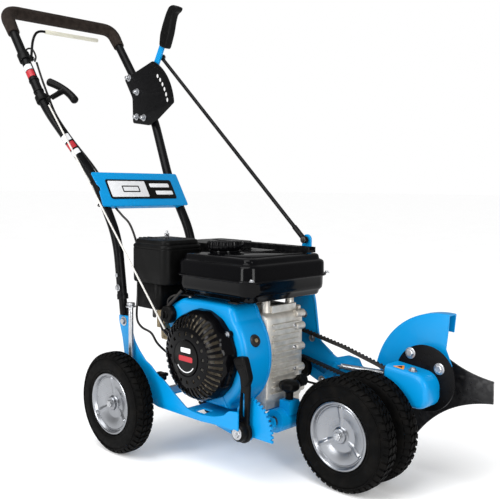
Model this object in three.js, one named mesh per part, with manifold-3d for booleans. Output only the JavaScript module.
// Walk-behind lawn edger with an engine, a belt-driven cutting head on a swinging boom and four wheels.
// Millimetres. +X is forwards, +Y is the machine's left, +Z is up. The machine is drawn with x = 0
// midway between its axles and y = 0 at the outer face of the right rear wheel. The exported group
// moves it so that the origin is on the ground, in the middle of the box around the machine.
import * as THREE from 'three';
import { mergeVertices } from 'three/addons/utils/BufferGeometryUtils.js';
import Module from 'manifold-3d';

const wasm = await Module();
wasm.setup();

// Driving dimensions
const GAP = 0.3;                       // clearance between neighbouring pieces
const WHEEL = { r: 112, width: 48, rim: 68, bore: 8.3 };
const AXLE = { z: 112, rear: -240, front: 240, r: 8, nut: 12 };
const WHEEL_Y = { rearRight: 0, rearLeft: 368, frontRight: 194, frontLeft: 316 };  // outer faces
const SIDE = { right: 66, left: 290, thick: 4 };   // lower faces of the two side plates
const DECK = { z: 128, thick: 4 };
const SHAFT = { x: 92, z: 112, r: 9.7, hole: 10 };  // the cross shaft that sets the front height
const CRANK = { x: -33, z: 243 };
const SPINDLE = { x: 328, z: 199, r: 9.7 };
const TUBE = { r: 11.3, stub: 9.4 };
const HANDLE = { middle: 180, low: 110, high: 163, steps: 56 };  // half widths at the bottom and at the top
const BELT = { y: 329, width: 11, drive: 42, driven: 24, thick: 8 };
const BOOM = { y: 346, thick: 5 };
const HEAD = { x: 324, z: 212, r: 67, near: 367, thick: 4 };   // the plate between the boom and the blade
const BLADE = { y: 402, thick: 4, r: 127, tips: 3, halfTip: 22 };
const QUADRANT = { x: -560, z: 778, y: 317, reach: 135, tip: [-472, 930] };  // lever's pivot and rod pin
const EYE = [29, 474];                 // where the depth rod meets the boom's ear
const ROPE = { guide: [-512, 18, 790], outlet: [-140, 78, 283] };

// Materials
const paint = (color, roughness, metalness) => () =>
  new THREE.MeshStandardMaterial({ color, roughness, metalness });
const blue = paint(0x0a8fe0, 0.35, 0.1);
const black = paint(0x15161a, 0.35, 0.1);
const glossBlack = paint(0x08090b, 0.12, 0.0);
const plastic = paint(0x1b1b1c, 0.6, 0.0);
const rubber = paint(0x1d1b1a, 0.9, 0.0);
const foam = paint(0x2b2522, 0.95, 0.0);
const zinc = paint(0xb9bcc0, 0.3, 0.9);
const silver = paint(0xc4c7cb, 0.4, 0.7);
const castMetal = paint(0xa8a49c, 0.5, 0.8);
const darkSteel = paint(0x2c2a29, 0.5, 0.7);
const brass = paint(0xb08a45, 0.35, 0.9);
const cream = paint(0xd9d6c4, 0.5, 0.0);

// Turns any closed geometry into a manifold solid whose faces point outwards.
function solid(geometry) {
  const bare = geometry.clone();
  bare.deleteAttribute('normal');
  bare.deleteAttribute('uv');
  const merged = mergeVertices(bare, 1e-4);
  const points = merged.attributes.position.array;
  const kept = [];
  let volume = 0;
  for (let i = 0; i < merged.index.count; i += 3) {
    const [a, b, c] = [0, 1, 2].map((k) => merged.index.array[i + k]);
    if (a === b || b === c || c === a) continue;
    const [p, q, r] = [a, b, c].map((k) => new THREE.Vector3().fromArray(points, 3 * k));
    volume += p.dot(q.cross(r));
    kept.push(a, b, c);
  }
  if (volume < 0) kept.reverse();
  return new wasm.Manifold(new wasm.Mesh({
    numProp: 3, vertProperties: Float32Array.from(points), triVerts: Uint32Array.from(kept),
  }));
}

const joined = (first, ...rest) => rest.reduce((whole, piece) => whole.add(piece), first);
const cut = (first, ...rest) => rest.reduce((whole, piece) => whole.subtract(piece), first);

// A named mesh from a solid.
function piece(name, body, material) {
  const mesh = body.getMesh();
  const geometry = new THREE.BufferGeometry();
  geometry.setAttribute('position', new THREE.BufferAttribute(mesh.vertProperties, 3));
  geometry.setIndex(new THREE.BufferAttribute(mesh.triVerts, 1));
  geometry.computeVertexNormals();
  const result = new THREE.Mesh(geometry, material());
  result.name = name;
  return result;
}

// Outlines: a list of [u, v] points, and a few ready shapes.
const outline = (points) => new THREE.Shape(points.map(([u, v]) => new THREE.Vector2(u, v)));
function roundedRect(u0, v0, u1, v1, r) {
  const shape = new THREE.Shape();
  shape.moveTo(u0 + r, v0);
  shape.lineTo(u1 - r, v0);
  shape.absarc(u1 - r, v0 + r, r, -Math.PI / 2, 0);
  shape.lineTo(u1, v1 - r);
  shape.absarc(u1 - r, v1 - r, r, 0, Math.PI / 2);
  shape.lineTo(u0 + r, v1);
  shape.absarc(u0 + r, v1 - r, r, Math.PI / 2, Math.PI);
  shape.lineTo(u0, v0 + r);
  shape.absarc(u0 + r, v0 + r, r, Math.PI, Math.PI * 1.5);
  return shape;
}
const arcPoints = (u, v, r, from, to, count) => Array.from({ length: count + 1 }, (_, i) => {
  const angle = THREE.MathUtils.degToRad(from + (to - from) * i / count);
  return [u + r * Math.cos(angle), v + r * Math.sin(angle)];
});

// Plates: an outline in XZ given a width along Y, in YZ along X, and in XY along Z.
const extruded = (shape, depth, curveSegments = 5) =>
  new THREE.ExtrudeGeometry(shape, { depth, bevelEnabled: false, curveSegments });
const plateY = (shape, y0, y1, segments) =>
  solid(extruded(shape, y1 - y0, segments).rotateX(Math.PI / 2).translate(0, y1, 0));
const plateZ = (shape, z0, z1, segments) => solid(extruded(shape, z1 - z0, segments).translate(0, 0, z0));
const box = (x0, x1, y0, y1, z0, z1) => solid(new THREE.BoxGeometry(x1 - x0, y1 - y0, z1 - z0)
  .translate((x0 + x1) / 2, (y0 + y1) / 2, (z0 + z1) / 2));

// Turned pieces: a closed profile of [radius, distance] points about a line along +Y or +Z.
function turnedY(x, z, profile, sides = 32) {
  const points = [...profile, profile[0]].map(([r, t]) => new THREE.Vector2(r, t));
  return solid(new THREE.LatheGeometry(points, sides).translate(x, 0, z));
}
function turnedZ(x, y, profile, sides = 32) {
  const points = [...profile, profile[0]].map(([r, t]) => new THREE.Vector2(r, t));
  return solid(new THREE.LatheGeometry(points, sides).rotateX(Math.PI / 2).translate(x, y, 0));
}
const discY = (x, z, r, y0, y1, sides = 24) => turnedY(x, z, [[0, y0], [r, y0], [r, y1], [0, y1]], sides);
const discZ = (x, y, r, z0, z1, sides = 24) => turnedZ(x, y, [[0, z0], [r, z0], [r, z1], [0, z1]], sides);

// A round bar between two points.
function bar(from, to, r, sides = 12) {
  const [a, b] = [new THREE.Vector3(...from), new THREE.Vector3(...to)];
  const along = b.clone().sub(a);
  const upright = new THREE.Vector3(0, 1, 0);
  const turn = new THREE.Quaternion().setFromUnitVectors(upright, along.clone().normalize());
  const geometry = new THREE.CylinderGeometry(r, r, along.length(), sides);
  return solid(geometry.applyQuaternion(turn).translate(...a.add(b).multiplyScalar(0.5).toArray()));
}

// A tube through corner points, each corner rounded by a bend that starts `bend` before it.
function bentPath(corners, bend) {
  const points = corners.map((corner) => new THREE.Vector3(...corner));
  const path = new THREE.CurvePath();
  let start = points[0];
  for (let i = 1; i < points.length - 1; i += 1) {
    const [toLast, toNext] = [i - 1, i + 1].map((k) => points[i].distanceTo(points[k]));
    const reach = Math.min(bend, toLast / 2.1, toNext / 2.1);
    const before = points[i].clone().lerp(points[i - 1], reach / toLast);
    const after = points[i].clone().lerp(points[i + 1], reach / toNext);
    path.add(new THREE.LineCurve3(start, before));
    path.add(new THREE.QuadraticBezierCurve3(before, points[i], after));
    start = after;
  }
  path.add(new THREE.LineCurve3(start, points[points.length - 1]));
  return path;
}
function sweep(path, r, steps, sides = 10) {
  const section = outline(arcPoints(0, 0, r, 0, 360 - 360 / sides, sides - 1));
  return solid(new THREE.ExtrudeGeometry(section, { steps, extrudePath: path, bevelEnabled: false }));
}
const smooth = (points) => new THREE.CatmullRomCurve3(points.map((point) => new THREE.Vector3(...point)));

// ---- Wheels: a treaded tyre on a dished metal rim, outer face at y = 0 of its own group ----
function wheel(name, x, y, turned) {
  const group = new THREE.Group();
  const { r, width, rim, bore } = WHEEL;
  const half = [[rim + GAP, 5], [76, 0], [97, 1.5], [107.5, 6.5], [r, 14]];
  const tyre = [...half, ...half.map(([radius, t]) => [radius, width - t]).reverse()];
  const disc = [[bore, 7], [16, 7], [19, 14], [34, 17], [56, 11], [62, 4], [rim, 4], [rim, 44], [62, 44],
    [58, 24], [34, 24], [19, 22], [16, 41], [bore, 41]];
  group.add(piece(`tyre_${name}`, turnedY(0, 0, tyre, 24), rubber));
  group.add(piece(`rim_${name}`, turnedY(0, 0, disc, 24), silver));
  group.position.set(x, y, AXLE.z);
  group.rotation.z = turned ? Math.PI : 0;
  return group;
}

// An axle with a nut on each end, outside the hubs.
const axle = (name, x, y0, y1) => piece(name, turnedY(x, AXLE.z, [
  [0, y0 - 8], [AXLE.nut, y0 - 8], [AXLE.nut, y0], [AXLE.r, y0],
  [AXLE.r, y1], [AXLE.nut, y1], [AXLE.nut, y1 + 8], [0, y1 + 8],
], 12), zinc);

// ---- Frame ----
function sidePlate(name, y, front) {
  const back = [[-150, 112], [-205, 118], [-218, 106]];
  const axleLobe = arcPoints(AXLE.rear, AXLE.z, 22, -20, -180, 6);
  const crescent = [[-268, 190], [-279, 246], [-291, 281], [-292, 297], [-255, 297], [-252, 290], [-235, 245],
    [-218, 226], [-194, 206], [-176, 199], [-154, 184], [-132, 176], [-110, 163], [-95, 153], [-55, 131]];
  const body = plateY(outline([...back, ...axleLobe, ...crescent, ...front]), y, y + SIDE.thick);
  return piece(name, cut(body, discY(AXLE.rear, AXLE.z, AXLE.r + GAP, y - 1, y + SIDE.thick + 1)), blue);
}
const rightFront = [[-39, 128], [-7, 127], [31, 132], [59, 141], [73, 153], [99, 156], [99, 117], [31, 116],
  [-7, 113]];
const leftFront = [[-39, 128], [60, 130], [60, 116], [-7, 113]];

function deck() {
  const { z, thick } = DECK;
  const [y0, y1] = [SIDE.right + SIDE.thick + GAP, SIDE.left - GAP];
  const plate = box(-205, 62, y0, y1, z - thick, z);
  const rearWindow = box(-168, -60, y0 + 4, 165, z - 9, z + 9);
  const nearWindow = box(-38, -6, y0 + 3, 100, z - 9, z + 9);
  const lobe = arcPoints(SHAFT.x, SHAFT.z, 17, 230, 400, 6);
  const ear = outline([[5, z - 1], [5, 100], [60, 92], ...lobe, [62, z - 1]]);
  const bearing = cut(plateY(ear, 160, 166), discY(SHAFT.x, SHAFT.z, SHAFT.hole, 150, 170));
  return piece('engine_deck', joined(cut(plate, rearWindow, nearWindow), bearing), blue);
}

// The toothed sector that holds the height lever, with a tail under the deck.
function sector() {
  const teeth = [];
  for (let i = 0; i <= 11; i += 1) {
    const angle = -8 + i * 7.6;
    teeth.push(...arcPoints(SHAFT.x, SHAFT.z, 70, angle, angle + 3.8, 1));
    teeth.push(...arcPoints(SHAFT.x, SHAFT.z, 65.5, angle + 3.8, angle + 7.6, 1));
  }
  const top = DECK.z - DECK.thick - GAP;
  const shape = outline([[5, top], [5, 100], [60, 92], ...arcPoints(SHAFT.x, SHAFT.z, 21, 200, 330, 4),
    ...teeth, [80, 170], [66, 150], [66, top]]);
  const hole = discY(SHAFT.x, SHAFT.z, SHAFT.hole, 90, 110);
  return piece('height_sector', cut(plateY(shape, 97.4, 101.4), hole), blue);
}
const supportRod = () => piece('support_rod', turnedZ(-233, 57, [[0, 205], [5.5, 205], [5.5, 327],
  [9, 327], [9, 332], [0, 332]], 12), zinc);

// ---- Front height setting: cross shaft, swinging wheel arm, lever and lock knob ----
const crossShaft = () => piece('height_shaft', discY(SHAFT.x, SHAFT.z, SHAFT.r, 83.2, 268, 20), zinc);
function wheelArm() {
  const hub = discY(SHAFT.x, SHAFT.z, 24, 178, 263);
  const lug = box(88, 116, 198, 228, 124, 153);
  const half = { shaft: 13, axle: 10 };
  const web = outline([[SHAFT.x, SHAFT.z - half.shaft], [AXLE.front, AXLE.z - half.axle],
    [AXLE.front, AXLE.z + half.axle], [SHAFT.x, SHAFT.z + half.shaft]]);
  const boss = discY(AXLE.front, AXLE.z, 16, 244, 266, 20);
  const body = joined(hub, lug, plateY(web, 249, 261), boss);
  const shaftHole = discY(SHAFT.x, SHAFT.z, SHAFT.hole, 170, 270);
  const axleHole = discY(AXLE.front, AXLE.z, AXLE.r + GAP, 240, 270);
  return piece('wheel_arm', cut(body, shaftHole, axleHole), blue);
}
const lockKnob = () => piece('lock_knob', turnedZ(102, 213, [[0, 153.3], [5, 153.3], [5, 170], [12, 171],
  [21, 176], [23, 182], [21, 189], [12, 193], [0, 194]], 16), plastic);
function heightLever() {
  const hub = discY(SHAFT.x, SHAFT.z, 21, 84, 92);
  const blade = outline([[SHAFT.x - 13, SHAFT.z], [SHAFT.x + 15, SHAFT.z], [111, 206], [100, 232], [84, 226],
    [88, 200]]);
  const grip = outline([[73, 235], [62, 253], [72, 260], [104, 262], [112, 243], [119, 222], [110, 205],
    [97, 204], [88, 222]]);
  const body = joined(hub, plateY(blade, 84, 92), plateY(grip, 78, 96));
  const slot = plateY(roundedRect(88, 140, 99, 178, 5), 80, 96);
  return piece('height_lever', cut(body, slot, discY(SHAFT.x, SHAFT.z, SHAFT.hole, 80, 96)), plastic);
}
// ---- Handle ----
const side = (sign, half) => HANDLE.middle + sign * half;
function handleStub(name, sign) {
  const y = side(sign, HANDLE.low);
  const inner = sign < 0 ? SIDE.right + SIDE.thick + GAP : SIDE.left - GAP;
  const width = [inner, inner - sign * 7].sort((a, b) => a - b);
  const tab = box(-285, -262, ...width, 255, 318);
  return piece(name, joined(bar([-277, y, 300], [-291, y, 400], TUBE.stub, 16), tab), black);
}
const LEAN = { foot: [-283, 342], knee: [-301, 470], low: [-386, 603], high: [-518, 775], top: [-716, 1034] };
function handleCorners() {
  const run = (sign) => [
    [LEAN.foot[0], side(sign, HANDLE.low), LEAN.foot[1]],
    [LEAN.knee[0], side(sign, HANDLE.low), LEAN.knee[1]],
    [LEAN.low[0], side(sign, HANDLE.low), LEAN.low[1]],
    [LEAN.high[0], side(sign, HANDLE.high), LEAN.high[1]],
    [LEAN.top[0], side(sign, HANDLE.high), LEAN.top[1]],
  ];
  return [...run(-1), ...run(1).reverse()];
}
const handleTube = (r) => sweep(bentPath(handleCorners(), 45), r, HANDLE.steps, 10);
function handleBar() {
  const bores = [-1, 1].map((sign) => {
    const y = side(sign, HANDLE.low);
    return bar([-282, y, 336], [-291.8, y, 406], TUBE.stub + GAP, 16);
  });
  return piece('handle_bar', cut(handleTube(TUBE.r), ...bores), black);
}
function foamGrip() {
  const corners = [
    [-668, side(-1, HANDLE.high), 971],
    [LEAN.top[0], side(-1, HANDLE.high), LEAN.top[1]],
    [LEAN.top[0], side(1, HANDLE.high), LEAN.top[1]],
    [-678, side(1, HANDLE.high), 984],
  ];
  const outside = sweep(bentPath(corners, 45), 16.5, 24, 12);
  return piece('foam_grip', cut(outside, handleTube(TUBE.r + GAP)), foam);
}
// The badge panel lies across the front of both tubes. Its own frame has u along +Y, v up the lean.
const LOWER_LEAN = Math.atan2(LEAN.knee[0] - LEAN.low[0], LEAN.low[1] - LEAN.knee[1]);
const panelFrame = new THREE.Matrix4().makeBasis(
  new THREE.Vector3(0, 1, 0),
  new THREE.Vector3(-Math.sin(LOWER_LEAN), 0, Math.cos(LOWER_LEAN)),
  new THREE.Vector3(Math.cos(LOWER_LEAN), 0, Math.sin(LOWER_LEAN)),
).setPosition(-367.5, HANDLE.middle, 574);
const onPanel = (shape, from, to) =>
  solid(extruded(shape, to - from).translate(0, 0, from).applyMatrix4(panelFrame));
const PANEL = { half: 127, top: 47, bottom: -46, back: TUBE.r + GAP };
function badgePanel() {
  const { half, top, bottom, back } = PANEL;
  const sheet = onPanel(roundedRect(-half, bottom, half, top, 9), back, back + 3);
  const notch = onPanel(outline(arcPoints(-half, 4, 10, 0, 330, 11)), 5, 30);
  return piece('badge_panel', cut(sheet, notch), blue);
}
// ---- Clutch bail on the right-hand tube, its bracket and its cable ----
const BAIL = { x: -618, z: 905, y: 36, rod: 3.2, sleeve: 5.2, end: [-634, 240, 981], bend: [-628, 60, 979] };
const UPPER_SLOPE = (LEAN.top[0] - LEAN.high[0]) / (LEAN.top[1] - LEAN.high[1]);
const onTube = (z) => LEAN.high[0] + (z - LEAN.high[1]) * UPPER_SLOPE;
function tubeClamp(sign, z, half, r) {
  const y = side(sign, HANDLE.high);
  const ends = [z - half, z + half].map((level) => [onTube(level), y, level]);
  const past = [z - half - 20, z + half + 20].map((level) => [onTube(level), y, level]);
  return { body: bar(...ends, r, 16), bore: bar(...past, TUBE.r + 0.7, 12) };
}
function bailBracket() {
  const clamp = tubeClamp(-1, BAIL.z, 9, 15);
  const boss = discY(BAIL.x, BAIL.z, 8, 22, 32, 16);
  return piece('bail_bracket', cut(joined(clamp.body, boss), clamp.bore), plastic);
}
function bail() {
  const eye = discY(BAIL.x, BAIL.z, 7, 32.4, 39.5, 16);
  const corners = [[BAIL.x, BAIL.y, BAIL.z], [-611, 37, 952], BAIL.bend, BAIL.end];
  const rod = sweep(bentPath(corners, 18), BAIL.rod, 26, 8);
  const [start, end] = [BAIL.bend, BAIL.end].map((point) => new THREE.Vector3(...point));
  const ends = [0.12, 1.01].map((part) => start.clone().lerp(end, part).toArray());
  const sleeve = bar(...ends, BAIL.sleeve, 10);
  return piece('clutch_bail', joined(eye, rod, sleeve), cream);
}
// The cable runs down inside the tube, behind the panel and the air filter, to the idler arm.
const CABLE = [
  [-611, 47, 896], [-575, 41, 850], [-540, 40, 800], [-512, 44, 756], [-470, 60, 700], [-420, 82, 640],
  [-392, 93, 600], [-355, 92, 552], [-318, 93, 524], [-290, 98, 500], [-277, 108, 450], [-275, 108, 400],
  [-274, 106, 340],
  [-264, 96, 290], [-240, 91, 272], [-208, 94, 262], [-196, 105, 236], [-188, 140, 205], [-178, 190, 182],
  [-160, 225, 176], [-128, 270, 172], [-100, 298, 170], [-70, 318, 167], [-20, 330, 161], [40, 334, 157],
  [84, 338, 155],
];
const clutchCable = () => piece('clutch_cable', sweep(smooth(CABLE), 2.5, 48, 8), rubber);

// ---- Starter rope guide, rope and handle ----
function ropeGuide() {
  const clamp = tubeClamp(-1, 797, 7, 15);
  const [x, y, z] = ROPE.guide;
  const eyelet = discY(x, z + 6, 9, y - 4, y + 10, 14);
  const hole = discY(x, z + 6, 4, y - 6, y + 12, 12);
  const space = handleTube(TUBE.r + GAP);
  return piece('rope_guide', cut(joined(clamp.body, eyelet), clamp.bore, space, hole), plastic);
}
const starterRope = () =>
  piece('starter_rope', bar([ROPE.guide[0] + 6.5, 18.8, ROPE.guide[2] - 9], ROPE.outlet, 2, 8), cream);
function starterHandle() {
  const [x, y, z] = [-514, 66, 822];
  const along = new THREE.Vector3(0.82, 0.256, -0.512).normalize();
  const tip = (reach, drop) =>
    [x + along.x * reach, y + along.y * reach - drop, z + along.z * reach - drop / 2];
  const grip = sweep(smooth([tip(-52, 8), tip(-26, 2), tip(0, 0), tip(26, 2), tip(52, 8)]), 8, 10, 10);
  const stem = bar([x - 2, 34, 802], [x, y, z], 5.5, 12);
  return piece('starter_handle', joined(grip, stem), plastic);
}

// ---- Depth setting: quadrant on the left-hand tube, lever, grip and rod ----
const polar = (x, z, reach, degrees) => arcPoints(x, z, reach, degrees, degrees, 1)[0];
const HOLES = [48.6, 42, 35.4, 28.8, 22.2, 15.6];
function quadrant() {
  const { x, z, y, reach } = QUADRANT;
  const plate = outline([[-577, 896], [-616, 884], [-580, 830], [-578, 762], [-505, 752], [-470, 766],
    [-404, 805], ...arcPoints(-543, 790, 141, 8, 66, 8), [-492, 920]]);
  const sheet = plateY(plate, y, y + 4);
  const ovals = HOLES.map((angle) => {
    const [u, v] = polar(x, z, reach, angle);
    return discY(u, v, 5, y - 2, y + 6, 12);
  });
  const clamps = [845, 888].map((level) => discY(onTube(level), level, 5, y + 1, 331, 10));
  return piece('depth_quadrant', cut(joined(sheet, ...clamps), ...ovals), black);
}
const LEVER_Y = [QUADRANT.y + 5, QUADRANT.y + 10];
const LEVER_RISE = [QUADRANT.tip[1] - QUADRANT.z, QUADRANT.tip[0] - QUADRANT.x];
const LEVER_TILT = THREE.MathUtils.radToDeg(Math.atan2(...LEVER_RISE));
// A stretch of the lever between two distances from its pivot, with a half width at each.
function leverStrip(from, to, halfFrom, halfTo) {
  const corner = (reach, half) => {
    const [u, v] = polar(QUADRANT.x, QUADRANT.z, reach, LEVER_TILT);
    const [du, dv] = polar(0, 0, half, LEVER_TILT + 90);
    return [u + du, v + dv];
  };
  return outline([corner(from, -halfFrom), corner(to, -halfTo), corner(to, halfTo), corner(from, halfFrom)]);
}
function depthLever() {
  const { x, z, reach } = QUADRANT;
  const pivot = discY(x, z, 13, ...LEVER_Y, 20);
  const pin = discY(...polar(x, z, reach, LEVER_TILT), 5, LEVER_Y[0], LEVER_Y[1] + 1, 10);
  return piece('depth_lever', joined(pivot, plateY(leverStrip(0, 215, 11, 9), ...LEVER_Y), pin), blue);
}
function depthGrip() {
  const back = [[-463, 957], [-456, 985], [-441, 1012], [-428, 1035], [-414, 1052]];
  const front = [[-382, 1046], [-388, 1028], [-404, 1012], [-412, 985], [-420, 968], [-433, 945]];
  const body = plateY(outline([...back, ...front]), LEVER_Y[0] - 9, LEVER_Y[1] + 9);
  const slot = plateY(leverStrip(170, 216, 12, 10), LEVER_Y[0] - GAP, LEVER_Y[1] + GAP);
  return piece('depth_lever_grip', cut(body, slot), plastic);
}
function depthRod() {
  const y = [LEVER_Y[1] + 6, BOOM.y - 7];
  const [from, to] = [[QUADRANT.tip[0], y[0], QUADRANT.tip[1]], [EYE[0], y[1], EYE[1]]];
  const upperEye = discY(from[0], from[2], 8, y[0] - 5.4, y[0] + 5, 12);
  const lowerEye = discY(to[0], to[2], 7, y[1] - 5, y[1] + 5, 12);
  return piece('depth_rod', joined(bar(from, to, 4.5, 10), upperEye, lowerEye), black);
}

// ---- Engine ----
function crankcase() {
  const { x, z } = CRANK;
  const block = plateY(roundedRect(-96, 137.3, 72, 330, 16), 176.3, 289.7);
  const foot = box(-112, 66, 180, 286, DECK.z + GAP, 150);
  const ribs = Array.from({ length: 8 }, (_, i) => box(70, 76, 186, 282, 176 + 14 * i, 179 + 14 * i));
  const shaftHole = discY(x, z, 13.2, 170, 295);
  const pocket = discY(x, z, 52, 200, 291);
  return piece('crankcase', cut(joined(block, foot, ...ribs), shaftHole, pocket), castMetal);
}
function ptoCover() {
  const { x, z } = CRANK;
  const bosses = Array.from({ length: 8 }, (_, i) => discY(...polar(x, z, 80, 20 + 45 * i), 9, 290, 304, 8));
  const dome = turnedY(x, z, [[0, 290], [80, 290], [80, 298], [52, 302], [26, 308], [0, 308]], 24);
  return piece('crankcase_cover', cut(joined(dome, ...bosses), discY(x, z, 13.2, 280, 315)), castMetal);
}
// The cylinder leans back and up from the crank, with its fins, its head and its rocker cover.
function cylinder() {
  const turn = new THREE.Matrix4().makeRotationY(THREE.MathUtils.degToRad(25));
  const lean = turn.setPosition(CRANK.x, 232, CRANK.z);
  const slab = (from, to, half) => solid(new THREE.BoxGeometry(to - from, 2 * half * 0.95, 2 * half)
    .translate(-(from + to) / 2, 0, 0).applyMatrix4(lean));
  const fins = Array.from({ length: 6 }, (_, i) => slab(90 + 8 * i, 93 + 8 * i, 41));
  const body = joined(slab(84, 140, 30), ...fins, slab(136, 151, 41), slab(150, 166, 36));
  return piece('cylinder', body, castMetal);
}
function shroud() {
  const { x, z } = CRANK;
  const shape = (inset) => {
    const s = (u, v) => [u + Math.sign(x - u) * inset, v + Math.sign(z - v) * inset];
    return outline([s(-112, 137.6), s(40, 137.6), ...arcPoints(x, z, 118 - inset, -52, 42, 9), s(40, 352),
      s(-112, 352), s(-146, 336), s(-168, 314), s(-168, 292), s(-146, 272), s(-150, 225), s(-138, 175)]);
  };
  const shell = cut(plateY(shape(0), 100, 176), plateY(shape(3), 103, 177));
  return piece('fan_shroud', cut(shell, discY(x, z, 84, 98, 104, 32)), blue);
}
function recoilCover() {
  const outside = [[96, 99.7], [95, 88], [91, 72], [80, 58], [62, 50], [40, 47], [0, 46]];
  const inside = [[0, 50], [38, 51], [59, 54], [76, 61], [87, 74], [91, 88], [92, 99.7]];
  const shell = turnedY(CRANK.x, CRANK.z, [...outside, ...inside], 32);
  const outlet = bar([-113, 78, 270], [-136, 78, 281], 7, 12);
  const core = turnedY(CRANK.x, CRANK.z, [...inside, [0, 99.7]], 32);
  return piece('recoil_cover', cut(joined(shell, outlet), core), glossBlack);
}
// The crankshaft carries the flywheel with its fan blades and the starter cup.
function crankshaft() {
  const { x, z } = CRANK;
  const blades = Array.from({ length: 10 }, (_, i) => {
    const [inner, outer] = [polar(x, z, 58, 36 * i), polar(x, z, 84, 36 * i)];
    return bar([inner[0], 118, inner[1]], [outer[0], 118, outer[1]], 5, 6);
  });
  const wheelBody = turnedY(x, z, [[0, 121], [88, 121], [88, 150], [0, 150]], 32);
  const cup = discY(x, z, 34, 84, 123);
  return piece('crankshaft', joined(wheelBody, cup, ...blades, discY(x, z, 12.5, 149, 353, 20)), castMetal);
}
function engineSwitch() {
  const profile = [[0, 80], [10, 80], [11, 84], [19, 87], [20, 99.7], [0, 99.7]];
  return piece('engine_switch', turnedY(-146, 313, profile), plastic);
}
function fuelTank() {
  const layer = (grow, z0, z1, r) =>
    plateZ(roundedRect(-128 - grow, 104 - grow, 91 + grow, 339 + grow, r), z0, z1, 4);
  const body = joined(layer(-12, 361, 374, 16), layer(-3, 373, 405, 22), layer(4, 403.5, 407, 24),
    layer(0, 406, 436, 22), layer(-9, 435, 449, 20), discZ(-60, 180, 33, 448, 456, 28));
  return piece('fuel_tank', body, glossBlack);
}
function fuelCap() {
  const grips = Array.from({ length: 12 }, (_, i) => discZ(...polar(-60, 180, 34, 30 * i), 5.5, 457, 473, 8));
  return piece('fuel_cap', joined(discZ(-60, 180, 35, 456.3, 476, 28), ...grips), plastic);
}
function airFilter() {
  const layers = [plateZ(roundedRect(-262, 76, -137, 188, 20), 376, 463, 4),
    plateZ(roundedRect(-254, 84, -145, 180, 16), 462, 474, 4),
    plateZ(roundedRect(-256, 84, -172, 182, 14), 318, 377)];
  return piece('air_filter', joined(...layers), plastic);
}
function wingNut() {
  const wings = box(-214, -184, 129.5, 134.5, 479, 489);
  return piece('wing_nut', joined(discZ(-199, 132, 5, 474.3, 491, 10), wings), zinc);
}
function carburettor() {
  const body = box(-200, -170.3, 104, 150, 276, 317.7);
  const bowl = discZ(-186, 126, 16, 250, 277, 20);
  return piece('carburettor', joined(body, bowl, bar([-186, 140, 300], [-186, 176, 300], 12, 14)), brass);
}
// The muffler's slotted guard, which is open underneath, with a shield that runs on over the tank's edge.
function mufflerGuard() {
  const body = plateZ(roundedRect(-250, 205, -133.5, 343, 12), 352, 462);
  const lip = box(-140, 75, 297, 322, 450, 462);
  const slots = Array.from({ length: 13 }, (_, i) => box(-236 + 25 * i, -224 + 25 * i, 302, 318, 455, 470));
  const hollow = box(-246, -138, 209, 339, 340, 457);
  return piece('muffler_guard', cut(joined(body, lip), hollow, ...slots), black);
}
const oilCap = () => piece('oil_cap', bar([81, 266, 178], [97, 266, 184], 13, 12), plastic);

// ---- Cutting head ----
function pulley(name, x, z, r, hole) {
  const [near, far] = [BELT.y, BELT.y + BELT.width];
  const profile = [[hole, near - 3], [r + 2, near - 3], [r + 2, near], [r - 6, near], [r - 6, far],
    [r + 2, far], [r + 2, far + 3], [hole, far + 3]];
  return piece(name, turnedY(x, z, profile, 28), castMetal);
}
const drivePulley = () => pulley('drive_pulley', CRANK.x, CRANK.z, BELT.drive, 12.9);
const drivenPulley = () => pulley('driven_pulley', SPINDLE.x, SPINDLE.z, BELT.driven, SPINDLE.r + GAP);

// The belt hangs slack round both pulleys and over the idler roller.
const IDLER = { x: 32, z: 187, r: 20, pivot: [90, 168], hook: [126, 207] };
function belt() {
  const line = [
    ...arcPoints(CRANK.x, CRANK.z, BELT.drive - 0.5, 78, 268, 10),
    ...arcPoints(IDLER.x, IDLER.z, IDLER.r + 4.5, 112, 74, 3),
    [138, 193], [240, 181],
    ...arcPoints(SPINDLE.x, SPINDLE.z, BELT.driven - 0.5, -96, 92, 9),
    [257, 225], [150, 252],
  ].map(([u, v]) => new THREE.Vector2(u, v));
  const edge = (offset) => line.map((point, i) => {
    const before = line[(i + line.length - 1) % line.length];
    const after = line[(i + 1) % line.length];
    const along = after.clone().sub(before).normalize();
    return [point.x + along.y * offset, point.y - along.x * offset];
  });
  const ring = cut(plateY(outline(edge(BELT.thick / 2)), BELT.y + GAP, BELT.y + BELT.width - GAP),
    plateY(outline(edge(-BELT.thick / 2)), BELT.y - 1, BELT.y + BELT.width + 1));
  return piece('drive_belt', ring, rubber);
}
function idlerArm() {
  const { x, z, pivot, hook } = IDLER;
  const shape = outline([[x - 9, z - 7], [pivot[0] - 4, pivot[1] - 11], [pivot[0] + 12, pivot[1] - 4],
    [hook[0] + 6, hook[1] - 3], [hook[0] - 6, hook[1] + 5], [pivot[0] - 2, pivot[1] + 12], [x + 4, z + 10],
    [x - 8, z + 6]]);
  const hub = discY(pivot[0], pivot[1], 9, 334, 345.6, 14);
  const pin = discY(x, z, 5, 327, 343, 12);
  return piece('idler_arm', joined(plateY(shape, 341.6, 345.6), hub, pin), blue);
}
function idlerRoller() {
  const { x, z, r } = IDLER;
  const profile = [[5.3, 327], [r + 3, 327], [r + 3, 329], [r, 329.1], [r, 340], [r + 3, 340.1],
    [r + 3, 341.3], [5.3, 341.3]];
  return piece('idler_roller', turnedY(x, z, profile, 24), plastic);
}
const idlerSpring = () => piece('idler_spring', bar([134, 337, 208], [256, 337, 214], 5, 10), zinc);

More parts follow.
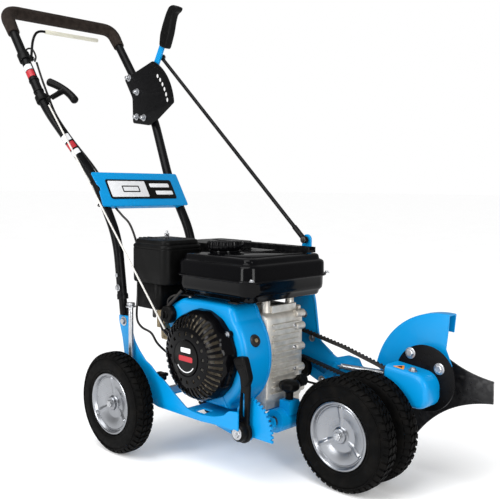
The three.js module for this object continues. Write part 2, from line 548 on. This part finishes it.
function boom() {
  const shape = outline([
    ...arcPoints(CRANK.x, CRANK.z, 34, 120, 280, 7), [60, 178], [110, 176], [186, 180],
    ...arcPoints(SPINDLE.x, SPINDLE.z, 26, 250, 450, 9), [250, 212], [186, 214], [178, 229],
    [150, 232], [118, 222], [107, 228], [88, 238], [70, 251], [66, 268], [61, 296], [54, 344], [45, 374], [41, 440],
    ...arcPoints(EYE[0], EYE[1], 12, -10, 190, 8), [8, 430], [-6, 344], [-20, 300],
  ]);
  const sheet = plateY(shape, BOOM.y, BOOM.y + BOOM.thick);
  const holes = [discY(CRANK.x, CRANK.z, 12.9, 340, 360), discY(SPINDLE.x, SPINDLE.z, 10, 340, 360)];
  return piece('boom', cut(sheet, ...holes), blue);
}
// The black plate that carries the blade guard, with the spindle's bearing housing on both its sides.
function headPlate() {
  const { x, z, r, near, thick } = HEAD;
  const sheet = plateY(outline(arcPoints(x, z, r, 0, 345, 23)), near, near + thick);
  const housing = discY(SPINDLE.x, SPINDLE.z, 24, BOOM.y + BOOM.thick + GAP, 386);
  return piece('head_plate', cut(joined(sheet, housing), discY(SPINDLE.x, SPINDLE.z, 10, 340, 390)), black);
}
// The guard is a channel round the upper back of the blade: a near face, a rim and a lip down the far side.
const GUARD = { x: 350, z: 184, outer: 159, start: 85, back: 170, near: 388, far: 416, lip: 120, thick: 3 };
function bladeGuard() {
  const { x, z, outer, start, back, near, far, lip, thick } = GUARD;
  const arch = arcPoints(x, z, outer, start, back, 14);
  const front = [[344, 165], [354, 190], [361, 224], [371, 228], [372, 242], [358, 273], [361, 300]];
  const face = plateY(outline([...front, ...arch, [230, 186]]), near, near + thick);
  const band = (inner, y0, y1) => plateY(outline([...arch, ...arcPoints(x, z, inner, back, start, 14)]), y0, y1);
  const spacers = [[291, 258], [357, 237]].map(([u, v]) =>
    discY(u, v, 9, HEAD.near + HEAD.thick + GAP, near + 1, 14));
  const body = joined(face, band(outer - thick, near, far), band(lip, far - thick, far), ...spacers);
  return piece('blade_guard', cut(body, discY(SPINDLE.x, SPINDLE.z, 30, near - 1, near + 5)), blue);
}
const COVER = { left: 262, near: 318.5, far: HEAD.near - GAP, r: 31, wall: 3, corner: 24 };
function beltCover() {
  const { left, near, far, r, wall, corner } = COVER;
  const right = SPINDLE.x + r;
  const shape = (inset, back) => outline([[back, 160 + inset], [back, 237 - inset], [318, 231.5 - inset],
    ...arcPoints(SPINDLE.x, SPINDLE.z, r - inset, 84, 0, 6),
    ...arcPoints(right - corner, 160 + corner, corner - inset, 0, -90, 6)]);
  const hollow = plateY(shape(wall, left - 9), near + wall, far + 2);
  return piece('belt_cover', cut(plateY(shape(0, left), near, far), hollow), blue);
}
function spindle() {
  const { x, z, r } = SPINDLE;
  const seat = BLADE.y - GAP;
  const end = BLADE.y + BLADE.thick + GAP;
  const profile = [[0, 323], [r, 323], [r, 387], [16, 387], [16, seat], [r, seat], [r, end], [19, end],
    [19, end + 2], [13, end + 2], [13, end + 14], [0, end + 14]];
  return piece('spindle', turnedY(x, z, profile, 20), zinc);
}
function blade() {
  const shape = new THREE.Shape();
  const corner = (tip, sign) => {
    const angle = 1 + 120 * tip + sign * THREE.MathUtils.radToDeg(Math.asin(BLADE.halfTip / BLADE.r));
    return polar(SPINDLE.x, SPINDLE.z, BLADE.r, angle);
  };
  shape.moveTo(...corner(0, -1));
  for (let tip = 0; tip < BLADE.tips; tip += 1) {
    shape.lineTo(...corner(tip, 1));
    const waist = polar(SPINDLE.x, SPINDLE.z, 38, 61 + 120 * tip);
    if (tip < BLADE.tips - 1) shape.quadraticCurveTo(...waist, ...corner(tip + 1, -1));
    else shape.quadraticCurveTo(...waist, ...corner(0, -1));
  }
  const sheet = plateY(shape, BLADE.y, BLADE.y + BLADE.thick, 10);
  return piece('blade', cut(sheet, discY(SPINDLE.x, SPINDLE.z, 10, BLADE.y - 2, BLADE.y + 8)), darkSteel);
}

// ---- The whole machine ----
const design = new THREE.Group();
design.add(
  wheel('rear_right', AXLE.rear, WHEEL_Y.rearRight, false),
  wheel('rear_left', AXLE.rear, WHEEL_Y.rearLeft, true),
  wheel('front_right', AXLE.front, WHEEL_Y.frontRight, false),
  wheel('front_left', AXLE.front, WHEEL_Y.frontLeft, true),
  axle('rear_axle', AXLE.rear, 6.7, 361.3),
  axle('front_axle', AXLE.front, 200.7, 309.3),
  sidePlate('side_plate_right', SIDE.right, rightFront),
  sidePlate('side_plate_left', SIDE.left, leftFront),
  deck(), sector(), supportRod(),
  crossShaft(), wheelArm(), lockKnob(), heightLever(),
  handleStub('handle_stub_right', -1), handleStub('handle_stub_left', 1),
  handleBar(), foamGrip(), badgePanel(),
  bailBracket(), bail(), clutchCable(), ropeGuide(), starterRope(), starterHandle(),
  quadrant(), depthLever(), depthGrip(), depthRod(),
  crankcase(), ptoCover(), cylinder(), shroud(), recoilCover(), crankshaft(), engineSwitch(),
  fuelTank(), fuelCap(), airFilter(), wingNut(), carburettor(), mufflerGuard(), oilCap(),
  drivePulley(), drivenPulley(), belt(), idlerArm(), idlerRoller(), idlerSpring(),
  boom(), headPlate(), bladeGuard(), beltCover(), spindle(), blade(),
);
const middle = new THREE.Box3().setFromObject(design, true).getCenter(new THREE.Vector3());
design.position.set(-middle.x, -middle.y, 0);
const group = new THREE.Group();
group.add(design);
export default group;
